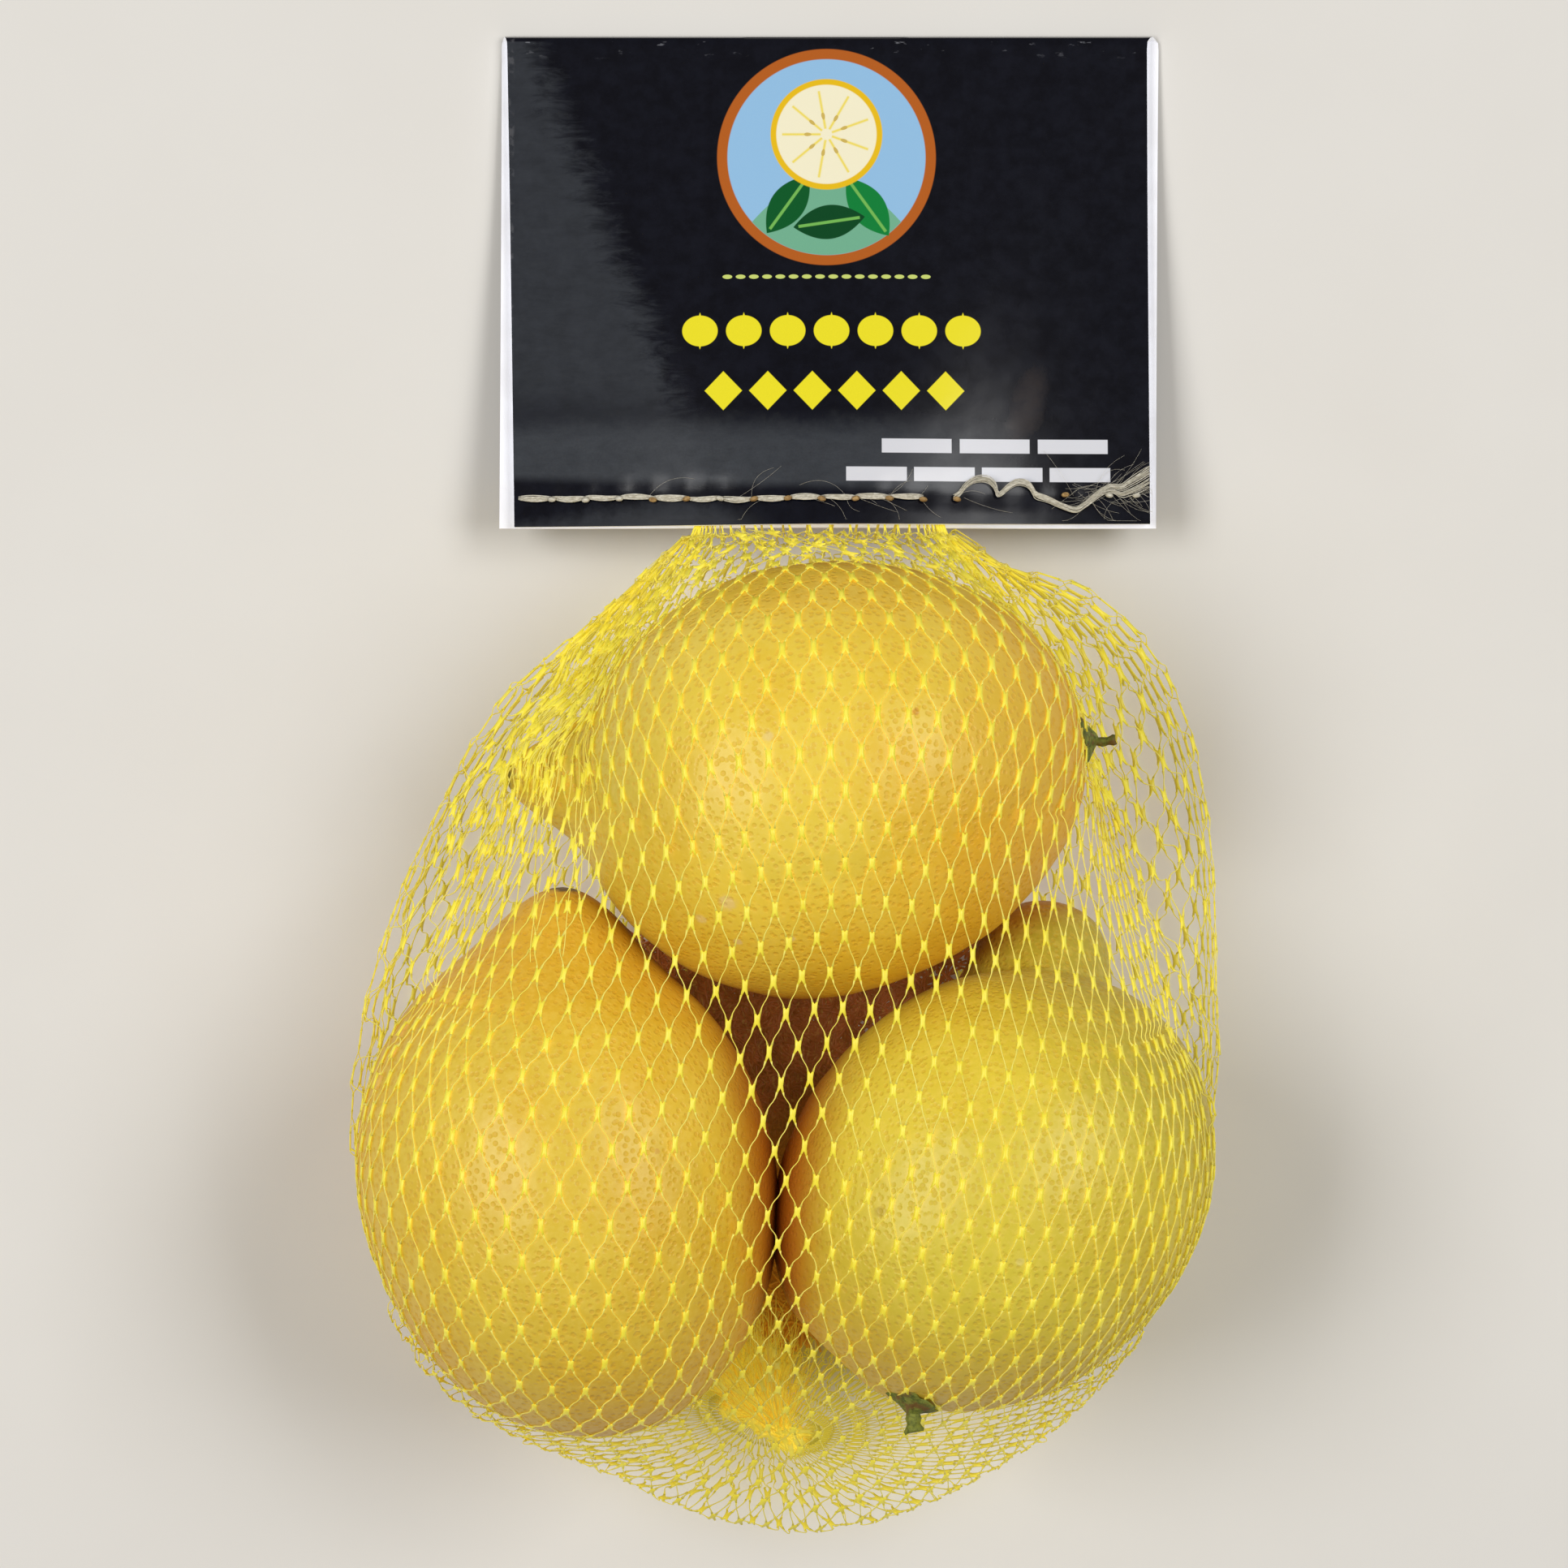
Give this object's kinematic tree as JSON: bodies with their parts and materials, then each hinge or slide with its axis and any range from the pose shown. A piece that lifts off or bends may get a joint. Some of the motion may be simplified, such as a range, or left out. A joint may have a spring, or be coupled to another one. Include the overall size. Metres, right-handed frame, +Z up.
{
  "type": "net of lemons",
  "caption": "Soft plastic net bag of whole lemons, gathered at the foot and sewn into a folded header card, lying flat.",
  "frame": {"origin": "middle of the bottom face of the whole part's bounding box, on the surface it lies on", "axes": "+Y along the bag from its foot to the card's fold, +Z up out of the front face, +X to the right seen from above"},
  "size_m": [0.1318, 0.2319, 0.0663],
  "materials": {
    "net": "soft extruded plastic net, slightly glossy",
    "card": "glossy printed board, white inside",
    "thread": "twisted cotton thread",
    "lemon_rind": "waxy pitted rind",
    "stem": "dry stem"
  },
  "bodies": {
    "root": {"net_bag": "net", "header_card": "card", "seam_thread": "thread"}
  },
  "joints": []
}
